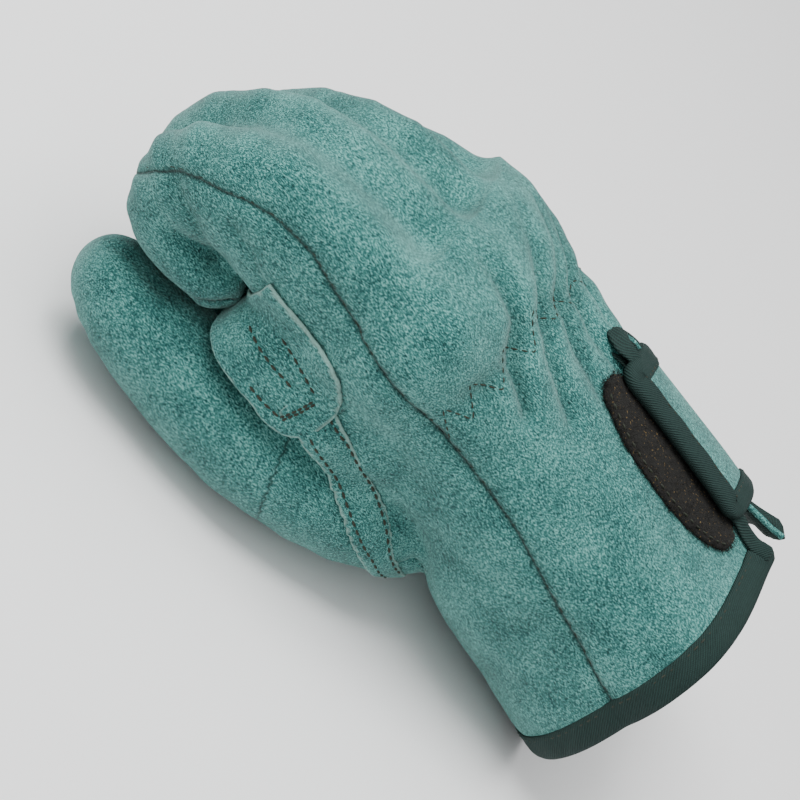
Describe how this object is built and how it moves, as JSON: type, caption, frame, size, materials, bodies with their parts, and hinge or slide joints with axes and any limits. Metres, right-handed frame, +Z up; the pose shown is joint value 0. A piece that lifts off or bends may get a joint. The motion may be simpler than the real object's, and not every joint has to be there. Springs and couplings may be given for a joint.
{
  "type": "welding glove",
  "caption": "Short split-leather welding glove for the right hand, half closed, with a gathered wrist, bound cuff and a strap closure.",
  "frame": {"origin": "on the ground under the middle of the glove's box", "axes": "+X from the fingertips to the cuff, +Z up on the back of the hand, the thumb side at -Y"},
  "size_m": [0.2126, 0.108, 0.107],
  "materials": {
    "leather": "matt napped suede",
    "binding_tape": "matt twill",
    "elastic": "ribbed elastic",
    "pile": "fuzzy loop and hook pile",
    "thread": "twisted sewing thread"
  },
  "bodies": {
    "hand": {"palm_panel": "leather", "back_panel": "leather", "wrist_elastic": "elastic", "cuff_binding": "binding_tape", "slit_binding": "binding_tape", "loop_patch": "pile", "strap_root": "leather", "thumb_heel": "leather", "thumb_crotch_patch": "leather", "thumb_seam_strip": "leather", "crotch_patch_stitching": "thread", "lap_seam_stitching": "thread", "elastic_stitching": "thread", "cuff_stitching": "thread", "side_seam_thread": "thread", "loop_patch_stitching": "thread"},
    "fingers": {"finger_backs": "leather", "finger_fronts": "leather", "fourchette_index_middle": "leather", "fourchette_middle_ring": "leather", "fourchette_ring_little": "leather", "finger_seam_thread": "thread"},
    "thumb": {"thumb_outer": "leather", "thumb_inner": "leather", "thumb_seam_thread": "thread"},
    "strap": {"strap": "leather", "strap_binding": "binding_tape", "hook_patch": "pile", "strap_stitching": "thread"}
  },
  "joints": [
    {"name": "knuckle_flex", "type": "hinge", "parent": "hand", "child": "fingers", "pos_m": [-0.0266, 0.003, 0.0785], "axis": [0, 1, 0], "range_deg": [0, 20]},
    {"name": "thumb_flex", "type": "hinge", "parent": "hand", "child": "thumb", "pos_m": [0.0074, -0.027, 0.0315], "axis": [0, -1, 0], "range_deg": [0, 15]},
    {"name": "strap_open", "type": "hinge", "parent": "hand", "child": "strap", "pos_m": [0.0599, 0.0348, 0.08504], "axis": [-0.9792, 0.008, 0.2026], "range_deg": [0, 120]}
  ]
}
